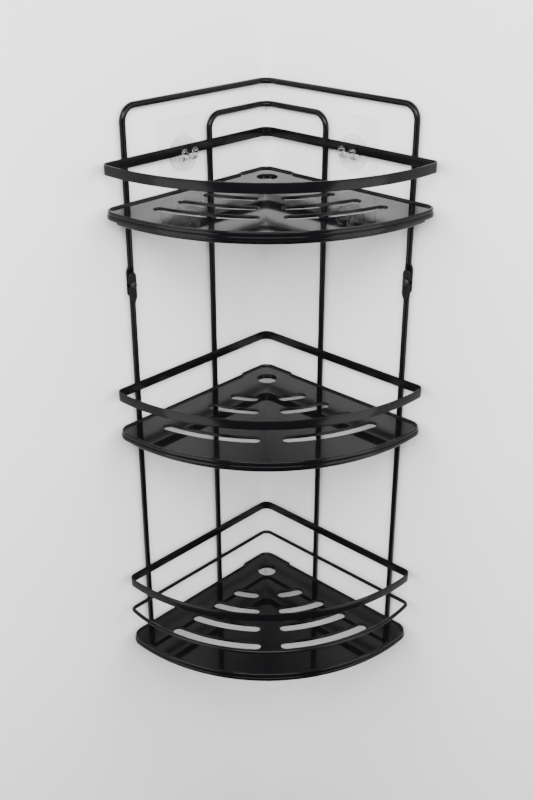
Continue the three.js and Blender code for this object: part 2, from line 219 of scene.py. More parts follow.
def corner_outline(wall_gap, depth, front_radius, corner_radius, apex_radius, step=0.0, step_reach=0.0):
    """The plan outline of a tray or a rail, anticlockwise from the middle of its front."""
    front_centre = Vector((0, front_radius - depth))
    side_offset = (wall_gap + corner_radius) * math.sqrt(2)
    shift = side_offset + front_centre.y
    reach = front_radius - corner_radius
    x = (math.sqrt(2 * reach ** 2 - shift ** 2) - shift) / 2
    centre = Vector((x, -x - side_offset))
    meeting = math.atan2(centre.y - front_centre.y, centre.x)
    right = arc_points(front_centre, front_radius, -math.pi / 2, meeting, 44)
    right += arc_points(centre, corner_radius, meeting, math.pi / 4, 14)[1:]
    if step > 0:
        foot = on_wall(1, step_reach + step, wall_gap)
        head = on_wall(1, step_reach, wall_gap - step)
        beyond = on_wall(1, step_reach - 4 * step, wall_gap - step)
        right += rounded_bend(right[-1], foot, head, APEX_STEP_BEND, 5)
        right += rounded_bend(foot, head, beyond, APEX_STEP_BEND, 5)
    apex = Vector((0, -(wall_gap - step + apex_radius) * math.sqrt(2)))
    right += arc_points(apex, apex_radius, math.pi / 4, math.pi / 2, 10)
    left = [Vector((-p.x, p.y)) for p in reversed(right[1:-1])]
    return right + left


def moved_outline(points, distance):
    """The same closed outline moved outwards, with mitred corners."""
    moved = []
    for i, point in enumerate(points):
        inward = (point - points[i - 1]).normalized()
        onward = (points[(i + 1) % len(points)] - point).normalized()
        normal_in = Vector((inward.y, -inward.x))
        normal_on = Vector((onward.y, -onward.x))
        moved.append(point + (normal_in + normal_on) * (distance / (1 + normal_in.dot(normal_on))))
    return moved


def slot_outline(side, radius):
    """One curved drain slot with round ends, clockwise, so that moving it outwards narrows the slot."""
    half = SLOT_WIDTH / 2
    start = math.asin((SPINE_WIDTH / 2 + half) / radius) - math.pi / 2
    end = math.acos((SLOT_WALL_MARGIN + half) / radius) - math.pi * 3 / 4
    inner_cap = (radius * math.cos(start), radius * math.sin(start))
    outer_cap = (radius * math.cos(end), radius * math.sin(end))
    points = arc_points((0, 0), radius + half, start, end, 22)
    points += arc_points(outer_cap, half, end, end + math.pi, 12)[1:-1]
    points += arc_points((0, 0), radius - half, end, start, 22)
    points += arc_points(inner_cap, half, start + math.pi, start + 2 * math.pi, 12)[1:-1]
    if side < 0:
        return [Vector((-p.x, p.y)) for p in points]
    return points[::-1]


# Each profile is a list of (distance outwards from the outline, height), from the top of the floor round
# to its underside.
RIM_PROFILE = [
    (-5.4, 0.0), (-4.6, 0.0), (-3.9, 0.12), (-3.4, 0.5), (-3.2, 1.1), (-2.95, 1.65), (-2.5, 1.93),
    (-2.0, 2.0), (-1.5, 1.93), (-1.05, 1.65), (-0.8, 1.1), (-0.8, -1.7), (-0.95, -2.0), (-1.0, -2.25),
    (-0.8, -2.4),
    (-0.4, -2.45), (-0.12, -2.62), (0.0, -2.95), (0.0, -5.3), (-0.15, -5.75), (-0.5, -5.97), (-0.8, -6.0),
    (-1.25, -5.93), (-1.55, -5.6), (-1.6, -5.2), (-1.6, 0.5), (-1.75, 0.95), (-2.0, 1.15), (-2.25, 0.95),
    (-2.4, 0.5), (-2.5, -0.1), (-2.9, -0.6), (-3.6, -0.8), (-4.4, -0.8),
]
HOLE_BEND = [(-1.7, 0.0), (-1.1, 0.0), (-0.7, -0.06), (-0.35, -0.25), (-0.1, -0.55), (0.0, -0.95)]
HOLE_FOOT = [(0.0, 0.35), (-0.1, 0.1), (-0.4, 0.0), (-0.7, 0.1), (-0.8, 0.35)]
HOLE_UNDERSIDE = [(-0.85, -1.3), (-1.0, -0.95), (-1.3, -0.8), (-1.9, -0.8)]
SLOT_COLLAR = 3.0
DRAIN_COLLAR = 5.0


def hole_profile(depth):
    return HOLE_BEND + [(outwards, height - depth) for outwards, height in HOLE_FOOT] + HOLE_UNDERSIDE


def pressed_tray(name, floor):
    edge = corner_outline(
        TRAY_WALL_GAP, TRAY_DEPTH, TRAY_FRONT_RADIUS, TRAY_CORNER_RADIUS, TRAY_APEX_RADIUS,
        APEX_STEP, APEX_REACH
    )
    drain = arc_points((0, -DRAIN_REACH), DRAIN_RADIUS, 2 * math.pi, 0, 48)[:-1]
    outlines = [(edge, RIM_PROFILE), (drain, hole_profile(DRAIN_COLLAR))]
    for radius in SLOT_RADII:
        outlines += [(slot_outline(side, radius), hole_profile(SLOT_COLLAR)) for side in (1, -1)]
    body = bmesh.new()
    top_loops = []
    bottom_loops = []
    for outline, profile in outlines:
        loops = []
        for outwards, height in profile:
            ring = moved_outline(outline, outwards * MM)
            loops.append([body.verts.new((p.x, p.y, floor + height * MM)) for p in ring])
        for upper, lower in zip(loops, loops[1:]):
            for i in range(len(upper)):
                body.faces.new((upper[i - 1], upper[i], lower[i], lower[i - 1])).smooth = True
        top_loops.append(loops[0])
        bottom_loops.append(loops[-1])
    for loops in (top_loops, bottom_loops):
        flat = [vert for loop in loops for vert in loop]
        for triangle in tessellate_polygon([[vert.co for vert in loop] for loop in loops]):
            body.faces.new([flat[i] for i in triangle])
    bmesh.ops.recalc_face_normals(body, faces=body.faces)
    mesh = bpy.data.meshes.new(name)
    body.to_mesh(mesh)
    body.free()
    return add_object(name, mesh)


def coating(name, colour, roughness, peel):
    """Powder coating: very dark, with faint orange peel, and a gloss that varies a little."""
    material = bpy.data.materials.new(name)
    material.use_nodes = True
    nodes = material.node_tree.nodes
    links = material.node_tree.links
    shader = nodes["Principled BSDF"]
    place = nodes.new("ShaderNodeTexCoord")
    cloud = nodes.new("ShaderNodeTexNoise")
    cloud.inputs["Scale"].default_value = 35.0
    cloud.inputs["Detail"].default_value = 3.0
    links.new(place.outputs["Object"], cloud.inputs["Vector"])
    gloss = nodes.new("ShaderNodeMapRange")
    gloss.inputs["To Min"].default_value = roughness * 0.85
    gloss.inputs["To Max"].default_value = roughness * 1.2
    links.new(cloud.outputs["Fac"], gloss.inputs["Value"])
    links.new(gloss.outputs["Result"], shader.inputs["Roughness"])
    shade = nodes.new("ShaderNodeMixRGB")
    shade.inputs["Color1"].default_value = (*[c * 0.8 for c in colour], 1.0)
    shade.inputs["Color2"].default_value = (*[c * 1.25 for c in colour], 1.0)
    links.new(cloud.outputs["Fac"], shade.inputs["Fac"])
    links.new(shade.outputs["Color"], shader.inputs["Base Color"])
    grain = nodes.new("ShaderNodeTexNoise")
    grain.inputs["Scale"].default_value = 420.0
    grain.inputs["Detail"].default_value = 2.0
    links.new(place.outputs["Object"], grain.inputs["Vector"])
    bump = nodes.new("ShaderNodeBump")
    bump.inputs["Strength"].default_value = peel
    bump.inputs["Distance"].default_value = 0.0002
    links.new(grain.outputs["Fac"], bump.inputs["Height"])
    links.new(bump.outputs["Normal"], shader.inputs["Normal"])
    shader.inputs["IOR"].default_value = 1.20
    return material


gloss_black = coating("gloss black coating", (0.003, 0.003, 0.0035), 0.05, 0.015)
satin_black = coating("satin black coating", (0.003, 0.003, 0.0035), 0.17, 0.06)


def finish_piece(piece, material, body, replaced, sharp_angle=40):
    mesh = piece.data
    mesh.materials.clear()
    mesh.materials.append(material)
    mesh.set_sharp_from_angle(angle=math.radians(sharp_angle))
    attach(piece, body)
    if replaced:
        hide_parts(*replaced)


LEVELS = ("bottom", "middle", "top")
FLOORS = {level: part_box(f"{level}_tray")[0][2] + SKIRT_DROP for level in LEVELS}
for level in LEVELS:
    tray = pressed_tray(f"{level}_tray_sheet", FLOORS[level])
    finish_piece(tray, gloss_black, "caddy", [f"{level}_tray"], 50)

# ---- wires ----
# The frame is bent from 6 mm steel wire. Two upper wires arch over the corner and four straight legs
# carry them on down. Where two wires meet, each is pressed flat and they are screwed together.
WIRE_RADIUS = 3.0 * MM
WIRE_DISTANCE = 4.5 * MM
OUTER_REACH = 193.0 * MM
INNER_REACH = 85.0 * MM
ARCH_BEND_RADIUS = 14.0 * MM
ARCH_CORNER_RADIUS = 12.0 * MM
LAP_GAP = 0.3 * MM
TAB_HALF_LENGTH = 12.5 * MM
TAB_HALF_WIDTH = 4.75 * MM
TAB_HALF_THICKNESS = 1.25 * MM
TAB_ROOT = 7.0 * MM
TAB_SPACING = 0.6 * MM
TAPPED_HOLE_RADIUS = 2.1 * MM
CLEAR_HOLE_RADIUS = 2.3 * MM
LEG_CHAMFER = 0.4 * MM
LEG_END_TAPER = 0.82
JOINT_LEVELS = {
    "outer": (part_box("outer_screw_left")[0][2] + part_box("outer_screw_left")[1][2]) / 2,
    "inner": (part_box("inner_screw_left")[0][2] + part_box("inner_screw_left")[1][2]) / 2,
}
REACHES = {"outer": OUTER_REACH, "inner": INNER_REACH}
SIDES = {"left": -1, "right": 1}


def new_tree(name, sockets):
    """A node group that takes one geometry and some sizes. It gives the group and its size sockets."""
    tree = bpy.data.node_groups.new(name, "GeometryNodeTree")
    tree.interface.new_socket("Geometry", in_out="INPUT", socket_type="NodeSocketGeometry")
    tree.interface.new_socket("Geometry", in_out="OUTPUT", socket_type="NodeSocketGeometry")
    kept = {}
    for label, kind in sockets.items():
        kept[label] = tree.interface.new_socket(label, in_out="INPUT", socket_type=kind)
    return tree, kept


def end_tree(tree, geometry, start):
    """The last nodes of every tree: real geometry, shaded smooth, with its material."""
    nodes = tree.nodes
    real = nodes.new("GeometryNodeRealizeInstances")
    smooth = nodes.new("GeometryNodeSetShadeSmooth")
    paint = nodes.new("GeometryNodeSetMaterial")
    end = nodes.new("NodeGroupOutput")
    tree.links.new(geometry, real.inputs["Geometry"])
    tree.links.new(real.outputs["Geometry"], smooth.inputs["Geometry"])
    tree.links.new(smooth.outputs["Geometry"], paint.inputs["Geometry"])
    tree.links.new(start.outputs["Material"], paint.inputs["Material"])
    tree.links.new(paint.outputs["Geometry"], end.inputs["Geometry"])


def round_wire_tree():
    """A round wire along a line of edges. Each point's taper narrows the wire there."""
    tree, sockets = new_tree("round wire along a line", {
        "Radius": "NodeSocketFloat",
        "Sides": "NodeSocketInt",
        "Material": "NodeSocketMaterial",
    })
    nodes = tree.nodes
    start = nodes.new("NodeGroupInput")
    line = nodes.new("GeometryNodeMeshToCurve")
    section = nodes.new("GeometryNodeCurvePrimitiveCircle")
    sweep = nodes.new("GeometryNodeCurveToMesh")
    taper = nodes.new("GeometryNodeInputNamedAttribute")
    taper.inputs["Name"].default_value = "taper"
    sweep.inputs["Fill Caps"].default_value = True
    tree.links.new(start.outputs["Geometry"], line.inputs["Mesh"])
    tree.links.new(line.outputs["Curve"], sweep.inputs["Curve"])
    tree.links.new(taper.outputs["Attribute"], sweep.inputs["Scale"])
    tree.links.new(start.outputs["Radius"], section.inputs["Radius"])
    tree.links.new(start.outputs["Sides"], section.inputs["Resolution"])
    tree.links.new(section.outputs["Curve"], sweep.inputs["Profile Curve"])
    end_tree(tree, sweep.outputs["Mesh"], start)
    return tree, sockets


def run_tree(source, tree, sockets, values):
    """Runs a tree on an object and gives back a plain object made from the result."""
    modifier = source.modifiers.new("shape", "NODES")
    modifier.node_group = tree
    for label, value in values.items():
        modifier[sockets[label].identifier] = value
    depsgraph = bpy.context.evaluated_depsgraph_get()
    mesh = bpy.data.meshes.new_from_object(source.evaluated_get(depsgraph), depsgraph=depsgraph)
    name = source.name
    line_mesh = source.data
    bpy.data.objects.remove(source)
    bpy.data.meshes.remove(line_mesh)
    mesh.name = name
    return add_object(name, mesh)


def line_object(name, points, tapers=None, closed=False):
    edges = [(i, i + 1) for i in range(len(points) - 1)]
    if closed:
        edges.append((len(points) - 1, 0))
    mesh = bpy.data.meshes.new(name)
    mesh.from_pydata(points, edges, [])
    taper = mesh.attributes.new("taper", "FLOAT", "POINT")
    taper.data.foreach_set("value", tapers or [1.0] * len(points))
    return add_object(name, mesh)


def bent_line(corners, radii, segments=14):
    points = [corners[0]]
    for i, radius in enumerate(radii):
        points += rounded_bend(corners[i], corners[i + 1], corners[i + 2], radius, segments)
    return points + [corners[-1]]


def finely_cut(start, end, spacing):
    """Points from start to just before end."""
    count = max(1, round((end - start).length / spacing))
    return [start.lerp(end, i / count) for i in range(count)]


ROUND_WIRE, ROUND_WIRE_SOCKETS = round_wire_tree()


def round_wire(name, points, radius, material, tapers=None, closed=False, sides=28):
    source = line_object(name, points, tapers, closed)
    values = {"Radius": radius, "Sides": sides, "Material": material}
    return run_tree(source, ROUND_WIRE, ROUND_WIRE_SOCKETS, values)


def smooth_step(value):
    value = min(max(value, 0.0), 1.0)
    return value * value * (3 - 2 * value)


def press_flat(piece, side, reach, joint, upper):
    """Presses the end of a wire into a tab with a round end, on the wall side for an upper wire."""
    along = Vector((side, -1, 0)).normalized()
    out = Vector((-side, -1, 0)).normalized()
    base = on_wall(side, reach, WIRE_DISTANCE).to_3d()
    offset = (TAB_HALF_THICKNESS + LAP_GAP / 2) * (-1 if upper else 1)
    towards_end = -1 if upper else 1
    for vertex in piece.data.vertices:
        if vertex.co.x * side < 0:
            continue
        from_end = TAB_HALF_LENGTH - (vertex.co.z - joint) * towards_end
        flat = smooth_step((2 * TAB_HALF_LENGTH + TAB_ROOT - from_end) / TAB_ROOT)
        if flat <= 0:
            continue
        place = vertex.co - base
        across = place.dot(along) / WIRE_RADIUS
        depth = place.dot(out) / WIRE_RADIUS
        round_end = math.sqrt(max(0.0, 1 - max(0.0, 1 - max(from_end, 0) / TAB_HALF_WIDTH) ** 2))
        width = WIRE_RADIUS + (TAB_HALF_WIDTH * round_end - WIRE_RADIUS) * flat
        thickness = WIRE_RADIUS + (TAB_HALF_THICKNESS - WIRE_RADIUS) * flat
        squared = depth * (1 + 0.7 * flat)
        depth = min(max(squared, -1.0), 1.0)
        centre = base + out * (offset * flat)
        height = vertex.co.z
        vertex.co = centre + along * (across * width) + out * (depth * thickness)
        vertex.co.z = height


def wire_point(side, reach, level):
    """A point on the centre line of an upright wire."""
    return on_wall(side, reach, WIRE_DISTANCE).to_3d() + Vector((0, 0, level))


def drill(piece, holes):
    """Cuts round holes: each is (side, reach, level, radius)."""
    for side, reach, level, radius in holes:
        cutter = bmesh.new()
        turn = Matrix.Rotation(math.radians(45 * side), 4, "Z") @ Matrix.Rotation(math.pi / 2, 4, "X")
        place = Matrix.Translation(wire_point(side, reach, level))
        bmesh.ops.create_cone(
            cutter, cap_ends=True, segments=32, radius1=radius, radius2=radius, depth=0.02,
            matrix=place @ turn
        )
        mesh = bpy.data.meshes.new("drill")
        cutter.to_mesh(mesh)
        cutter.free()
        bit = add_object("drill", mesh)
        cut = piece.modifiers.new("hole", "BOOLEAN")
        cut.object = bit
        cut.solver = "EXACT"
        depsgraph = bpy.context.evaluated_depsgraph_get()
        result = bpy.data.meshes.new_from_object(piece.evaluated_get(depsgraph), depsgraph=depsgraph)
        piece.modifiers.clear()
        piece.data = result
        bpy.data.objects.remove(bit)
        bpy.data.meshes.remove(mesh)


def arch(place):
    """An upper wire: up one wall, round the corner and down the other wall."""
    reach = REACHES[place]
    joint = JOINT_LEVELS[place]
    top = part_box(f"{place}_arch")[1][2] - WIRE_RADIUS
    foot = joint - TAB_HALF_LENGTH
    above_tab = joint + TAB_HALF_LENGTH + TAB_ROOT + 1 * MM
    corners = [
        wire_point(-1, reach, above_tab),
        wire_point(-1, reach, top),
        Vector((0, -WIRE_DISTANCE * math.sqrt(2), top)),
        wire_point(1, reach, top),
        wire_point(1, reach, above_tab),
    ]
    left_end = finely_cut(wire_point(-1, reach, foot), corners[0], TAB_SPACING)
    right_end = finely_cut(wire_point(1, reach, foot), corners[-1], TAB_SPACING)
    bends = [ARCH_BEND_RADIUS, ARCH_CORNER_RADIUS, ARCH_BEND_RADIUS]
    line = left_end + bent_line(corners, bends) + right_end[::-1]
    piece = round_wire(f"{place}_arch_wire", line, WIRE_RADIUS, satin_black)
    for side in (-1, 1):
        press_flat(piece, side, reach, joint, True)
    drill(piece, [(side, reach, joint, TAPPED_HOLE_RADIUS) for side in (-1, 1)])
    finish_piece(piece, satin_black, "caddy", [f"{place}_arch"], 60)


def lower_leg(place, hand):
    """A straight leg from a lap joint down to the bottom tray, with its lower end chamfered."""
    side = SIDES[hand]
    reach = REACHES[place]
    joint = JOINT_LEVELS[place]
    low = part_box(f"lower_{place}_leg_{hand}")[0][2]
    head = joint + TAB_HALF_LENGTH
    below_tab = joint - TAB_HALF_LENGTH - TAB_ROOT - 1 * MM
    line = [wire_point(side, reach, low), wire_point(side, reach, low + LEG_CHAMFER)]
    line += finely_cut(wire_point(side, reach, below_tab), wire_point(side, reach, head), TAB_SPACING)
    line.append(wire_point(side, reach, head))
    tapers = [LEG_END_TAPER] + [1.0] * (len(line) - 1)
    piece = round_wire(f"lower_{place}_leg_{hand}_wire", line, WIRE_RADIUS, satin_black, tapers)
    press_flat(piece, side, reach, joint, False)
    drill(piece, [(side, reach, joint, CLEAR_HOLE_RADIUS)])
    finish_piece(piece, satin_black, "caddy", [f"lower_{place}_leg_{hand}"], 60)


for place in REACHES:
    arch(place)
    for hand in SIDES:
        lower_leg(place, hand)

# ---- tray stiffeners ----
# A short arc of 5 mm wire, welded inside the skirt of each tray, under its front edge. Its ends are
# chamfered and stop short of the tray's corners.
STIFFENER_RADIUS = 2.5 * MM
STIFFENER_SIDE_MARGIN = 18.0 * MM
STIFFENER_CHAMFER = 0.5 * MM
STIFFENER_END_TAPER = 0.8


def stiffener(level):
    low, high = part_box(f"{level}_tray_stiffener")
    line_radius = TRAY_FRONT_RADIUS - TRAY_DEPTH - low[1] - STIFFENER_RADIUS
    centre_y = TRAY_FRONT_RADIUS - TRAY_DEPTH
    shift = (TRAY_WALL_GAP + STIFFENER_SIDE_MARGIN) * math.sqrt(2) + centre_y
    end_x = (math.sqrt(2 * line_radius ** 2 - shift ** 2) - shift) / 2
    end_angle = math.acos(end_x / line_radius)
    height = (low[2] + high[2]) / 2
    plan = arc_points((0, centre_y), line_radius, end_angle - math.pi, -end_angle, 90)
    line = [Vector((p.x, p.y, height)) for p in plan]
    first = line[0] + (line[0] - line[1]).normalized() * -STIFFENER_CHAMFER
    last = line[-1] + (line[-1] - line[-2]).normalized() * -STIFFENER_CHAMFER
    line = [line[0], first] + line[1:-1] + [last, line[-1]]
    tapers = [STIFFENER_END_TAPER] + [1.0] * (len(line) - 2) + [STIFFENER_END_TAPER]
    piece = round_wire(f"{level}_tray_stiffener_wire", line, STIFFENER_RADIUS, satin_black, tapers)
    finish_piece(piece, satin_black, "caddy", [f"{level}_tray_stiffener"], 60)


for level in LEVELS:
    stiffener(level)

# ---- guard rails ----
# Each rail is a closed hoop of flat steel strip on edge, welded to the room side of the wires. The
# bottom tray has a second hoop below its rail, of thin round wire, whose front bows out further.
RAIL_WALL_GAP = 7.8 * MM
RAIL_THICKNESS = 1.5 * MM
RAIL_EDGE_RADIUS = 0.5 * MM
RAIL_FRONT_RADIUS = 202.0 * MM
GUARD_FRONT_RADIUS = 188.0 * MM
RAIL_CORNER_RADIUS = 8.0 * MM
RAIL_APEX_RADIUS = 10.0 * MM


def strip_tree():
    """Flat strip on edge, with rounded edges, along a closed level line."""
    tree, sockets = new_tree("flat strip along a line", {
        "Thickness": "NodeSocketFloat",
        "Height": "NodeSocketFloat",
        "Edge Radius": "NodeSocketFloat",
        "Material": "NodeSocketMaterial",
    })
    nodes = tree.nodes
    start = nodes.new("NodeGroupInput")
    line = nodes.new("GeometryNodeMeshToCurve")
    upright = nodes.new("GeometryNodeSetCurveNormal")
    upright.mode = "Z_UP"
    section = nodes.new("GeometryNodeCurvePrimitiveQuadrilateral")
    fillet = nodes.new("GeometryNodeFilletCurve")
    fillet.mode = "POLY"
    fillet.inputs["Count"].default_value = 4
    sweep = nodes.new("GeometryNodeCurveToMesh")
    tree.links.new(start.outputs["Geometry"], line.inputs["Mesh"])
    tree.links.new(line.outputs["Curve"], upright.inputs["Curve"])
    tree.links.new(upright.outputs["Curve"], sweep.inputs["Curve"])
    tree.links.new(start.outputs["Thickness"], section.inputs["Width"])
    tree.links.new(start.outputs["Height"], section.inputs["Height"])
    tree.links.new(section.outputs["Curve"], fillet.inputs["Curve"])
    tree.links.new(start.outputs["Edge Radius"], fillet.inputs["Radius"])
    tree.links.new(fillet.outputs["Curve"], sweep.inputs["Profile Curve"])
    end_tree(tree, sweep.outputs["Mesh"], start)
    return tree, sockets


STRIP, STRIP_SOCKETS = strip_tree()


def hoop_line(node, front_radius, inset):
    """The centre line of a hoop, moved in from the outside of its node by half its own width."""
    low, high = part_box(node)
    outline = corner_outline(RAIL_WALL_GAP, -low[1], front_radius, RAIL_CORNER_RADIUS, RAIL_APEX_RADIUS)
    height = (low[2] + high[2]) / 2
    return [Vector((p.x, p.y, height)) for p in moved_outline(outline, -inset)]


def facing_out(piece):
    """Turns every face of a closed piece outwards."""
    mesh = bmesh.new()
    mesh.from_mesh(piece.data)
    bmesh.ops.recalc_face_normals(mesh, faces=mesh.faces)
    mesh.to_mesh(piece.data)
    mesh.free()


for level in LEVELS:
    node = f"{level}_rail"
    low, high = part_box(node)
    line = hoop_line(node, RAIL_FRONT_RADIUS, RAIL_THICKNESS / 2)
    source = line_object(f"{node}_strip", line, closed=True)
    rail = run_tree(source, STRIP, STRIP_SOCKETS, {
        "Thickness": RAIL_THICKNESS,
        "Height": high[2] - low[2],
        "Edge Radius": RAIL_EDGE_RADIUS,
        "Material": satin_black,
    })
    facing_out(rail)
    finish_piece(rail, satin_black, "caddy", [node])

guard_low, guard_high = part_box("bottom_guard_wire")
guard_radius = (guard_high[2] - guard_low[2]) / 2
guard_line = hoop_line("bottom_guard_wire", GUARD_FRONT_RADIUS, guard_radius)
guard = round_wire("bottom_guard_hoop", guard_line, guard_radius, satin_black, closed=True)
facing_out(guard)
finish_piece(guard, satin_black, "caddy", ["bottom_guard_wire"])

# ---- lap screws ----
# A black pan-head steel screw with a cross recess holds each pair of tabs together. It goes through the
# lower wire's tab from the room side and threads into the upper wire's tab.
SCREW_RADIUS = 2.0 * MM
HEAD_RADIUS = 3.7 * MM
HEAD_HEIGHT = 2.0 * MM
RECESS_LENGTH = 4.4 * MM
RECESS_WIDTH = 1.1 * MM
RECESS_DEPTH = 1.1 * MM
SHANK_LENGTH = 5.6 * MM
SHANK_CHAMFER = 0.4 * MM
HEAD_BEVEL = 0.15 * MM
RECESS_TURN = 0.35


def lathe(profile, segments):
    """A solid turned about Z from (radius, height) points. The first and last are on the axis."""
    body = bmesh.new()
    rings = []
    for radius, height in profile[1:-1]:
        ring = [Vector((p.x, p.y, height)) for p in arc_points((0, 0), radius, 0, 2 * math.pi, segments)[:-1]]
        rings.append([body.verts.new(p) for p in ring])
    for lower, upper in zip(rings, rings[1:]):
        for i in range(segments):
            body.faces.new((lower[i - 1], lower[i], upper[i], upper[i - 1])).smooth = True
    for ring, (_, height) in ((rings[0], profile[0]), (rings[-1], profile[-1])):
        tip = body.verts.new((0, 0, height))
        for i in range(segments):
            body.faces.new((ring[i - 1], ring[i], tip)).smooth = True
    bmesh.ops.recalc_face_normals(body, faces=body.faces)
    return body


def screw_mesh():
    profile = [(0, -SHANK_LENGTH), (SCREW_RADIUS * 0.8, -SHANK_LENGTH)]
    profile += [(SCREW_RADIUS, -SHANK_LENGTH + SHANK_CHAMFER)]
    profile += [(SCREW_RADIUS, 0), (HEAD_RADIUS - HEAD_BEVEL, 0), (HEAD_RADIUS, HEAD_BEVEL)]
    shoulder = HEAD_HEIGHT * 0.35
    for i in range(9):
        angle = math.pi / 2 * i / 8
        crown = HEAD_HEIGHT - shoulder
        profile.append((HEAD_RADIUS * math.cos(angle) ** 0.6, shoulder + crown * math.sin(angle) ** 1.2))
    profile[-1] = (0, HEAD_HEIGHT)
    body = lathe(profile, 40)
    mesh = bpy.data.meshes.new("screw")
    body.to_mesh(mesh)
    body.free()
    screw = add_object("screw", mesh)
    recess = bmesh.new()
    for size in ((RECESS_LENGTH, RECESS_WIDTH), (RECESS_WIDTH, RECESS_LENGTH)):
        arm = bmesh.ops.create_cube(recess, size=1.0)["verts"]
        for vertex in arm:
            narrow = 0.55 if vertex.co.z < 0 else 1.0
            vertex.co = Vector((
                vertex.co.x * size[0] * narrow, vertex.co.y * size[1] * narrow,
                HEAD_HEIGHT + vertex.co.z * 2 * RECESS_DEPTH,
            ))
    cutter_mesh = bpy.data.meshes.new("recess")
    recess.to_mesh(cutter_mesh)
    recess.free()
    cutter = add_object("recess", cutter_mesh)
    cut = screw.modifiers.new("recess", "BOOLEAN")
    cut.object = cutter
    cut.solver = "EXACT"
    cut.use_self = True
    depsgraph = bpy.context.evaluated_depsgraph_get()
    result = bpy.data.meshes.new_from_object(screw.evaluated_get(depsgraph), depsgraph=depsgraph)
    for used in (screw, cutter):
        bpy.data.objects.remove(used)
    result.set_sharp_from_angle(angle=math.radians(35))
    return result


def repeated_tree():
    """A copy of one object at each point, turned as the point's own attribute says."""
    tree, sockets = new_tree("copies at points", {
        "Copy": "NodeSocketObject",
        "Material": "NodeSocketMaterial",
    })
    nodes = tree.nodes
    start = nodes.new("NodeGroupInput")
    thing = nodes.new("GeometryNodeObjectInfo")
    turn = nodes.new("GeometryNodeInputNamedAttribute")
    turn.data_type = "FLOAT_VECTOR"
    turn.inputs["Name"].default_value = "turn"
    spread = nodes.new("GeometryNodeInstanceOnPoints")
    tree.links.new(start.outputs["Copy"], thing.inputs["Object"])
    tree.links.new(start.outputs["Geometry"], spread.inputs["Points"])
    tree.links.new(thing.outputs["Geometry"], spread.inputs["Instance"])
    tree.links.new(turn.outputs["Attribute"], spread.inputs["Rotation"])
    end_tree(tree, spread.outputs["Instances"], start)
    return tree, sockets


REPEATED, REPEATED_SOCKETS = repeated_tree()


def copies(name, mesh, places, material):
    """places is a list of (point, (turn about X, Y and Z))."""
    points = bpy.data.meshes.new(name)
    points.from_pydata([point for point, _ in places], [], [])
    turn = points.attributes.new("turn", "FLOAT_VECTOR", "POINT")
    turn.data.foreach_set("vector", [angle for _, angles in places for angle in angles])
    source = add_object(name, points)
    pattern = add_object("pattern", mesh)
    made = run_tree(source, REPEATED, REPEATED_SOCKETS, {"Copy": pattern, "Material": material})
    bpy.data.objects.remove(pattern)
    return made


screw_black = coating("black screw", (0.02, 0.02, 0.022), 0.22, 0.05)
screw_black.node_tree.nodes["Principled BSDF"].inputs["Metallic"].default_value = 0.4
screw_base = WIRE_DISTANCE + 2 * TAB_HALF_THICKNESS + LAP_GAP * 1.5
screw_places = []
for place, reach in REACHES.items():
    for side in SIDES.values():
        point = on_wall(side, reach, screw_base).to_3d() + Vector((0, 0, JOINT_LEVELS[place]))
        screw_places.append((point, (math.pi / 2, RECESS_TURN, -side * math.pi / 4)))
screws = copies("lap_screws", screw_mesh(), screw_places, screw_black)
screw_nodes = [f"{place}_screw_{hand}" for place in REACHES for hand in SIDES]
finish_piece(screws, screw_black, "caddy", screw_nodes, 35)

# ---- weld beads ----
# Small resistance-weld beads of the wires' own steel, coated with the rest, fill the seam where each wire
# touches a rail, the guard wire or a tray.
BEAD_SIZE = (2.2 * MM, 0.9 * MM, 1.6 * MM)
BEAD_GAP = 0.1 * MM
SKIRT_WELD_DROP = 4.0 * MM


def bead_mesh():
    bead = bmesh.new()
    bmesh.ops.create_icosphere(bead, subdivisions=2, radius=1.0)
    for vertex in bead.verts:
        vertex.co = Vector([vertex.co[i] * BEAD_SIZE[i] for i in range(3)])
    mesh = bpy.data.meshes.new("bead")
    bead.to_mesh(mesh)
    bead.free()
    return mesh


weld_levels = [sum(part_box(f"{level}_rail")[i][2] for i in (0, 1)) / 2 for level in LEVELS]
weld_levels.append((guard_low[2] + guard_high[2]) / 2)
weld_levels += [FLOORS[level] - SKIRT_WELD_DROP for level in LEVELS]
weld_places = []
for place, reach in REACHES.items():
    for side in SIDES.values():
        for level in weld_levels:
            point = on_wall(side, reach, WIRE_DISTANCE + WIRE_RADIUS + BEAD_GAP).to_3d()
            weld_places.append((point + Vector((0, 0, level)), (0, 0, -side * math.pi / 4)))
welds = copies("weld_beads", bead_mesh(), weld_places, satin_black)
finish_piece(welds, satin_black, "caddy", [], 180)

# ---- adhesive pads ----
# A thin clear film with rounded corners and a layer of clear acrylic adhesive behind it, stuck flat on
# each wall. The groove round its edge is the seam between the two.
HOOK_REACH = 118.5 * MM
PAD_CORNER_RADIUS = 5.0 * MM
PAD_THICKNESS = 1.0 * MM


